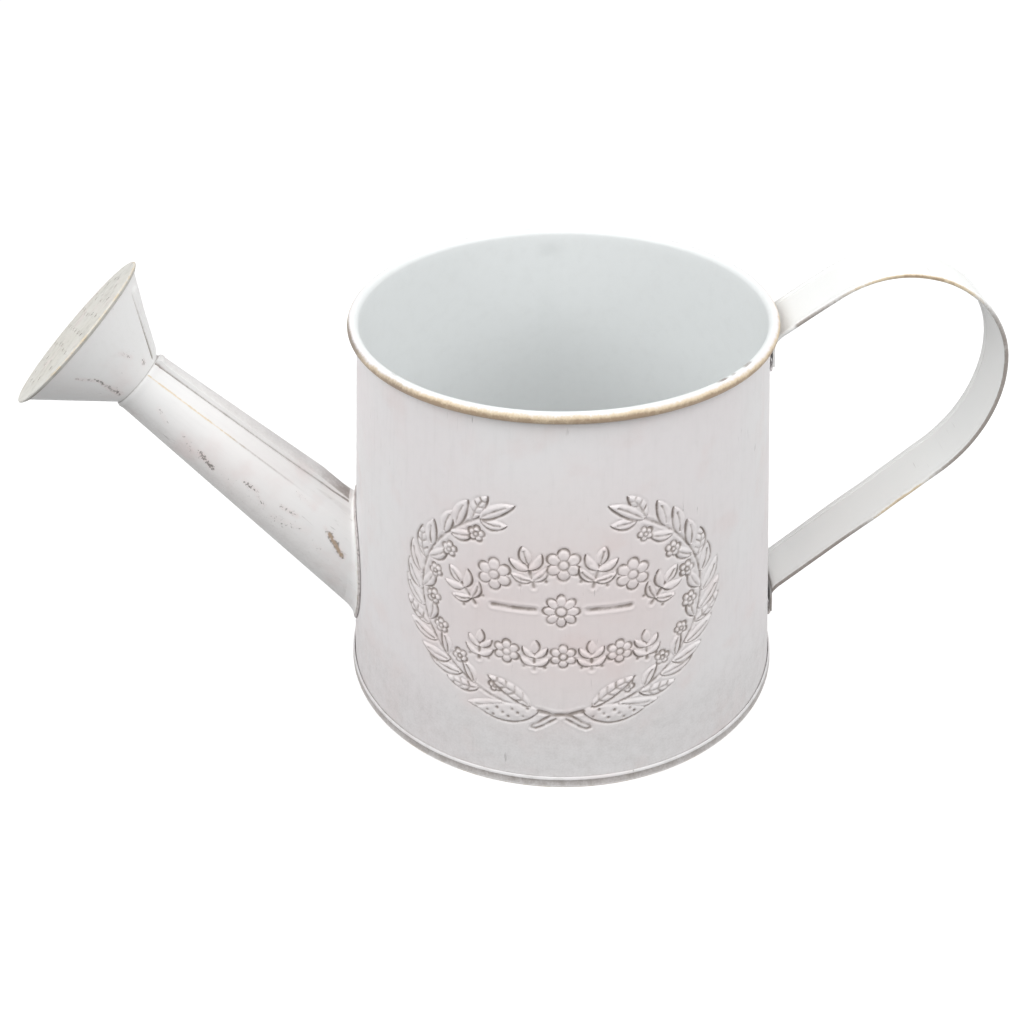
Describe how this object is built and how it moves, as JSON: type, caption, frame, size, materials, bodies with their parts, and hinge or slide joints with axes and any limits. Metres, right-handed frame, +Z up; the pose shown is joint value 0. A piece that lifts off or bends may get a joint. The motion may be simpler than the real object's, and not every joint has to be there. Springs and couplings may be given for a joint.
{
  "type": "watering can",
  "caption": "Small weathered sheet metal watering can with an open top, a straight spout with a rose, and a strap handle at the side.",
  "frame": {"origin": "centre of the base, on the floor", "axes": "+Z up, +X towards the handle, -X towards the spout, -Y towards the embossed front"},
  "size_m": [0.2463, 0.1192, 0.1166],
  "materials": {
    "drum_paint": "satin",
    "spout_paint": "satin",
    "rose_plate_paint": "satin",
    "strap_paint": "satin",
    "painted_solder": "satin"
  },
  "bodies": {
    "root": {"body_wall": "drum_paint", "base_pan": "drum_paint", "spout_tube": "spout_paint", "rose_cone": "spout_paint", "rose_plate": "rose_plate_paint", "handle_strap": "strap_paint", "spout_solder": "painted_solder", "handle_top_solder": "painted_solder", "handle_foot_solder": "painted_solder"}
  },
  "joints": []
}
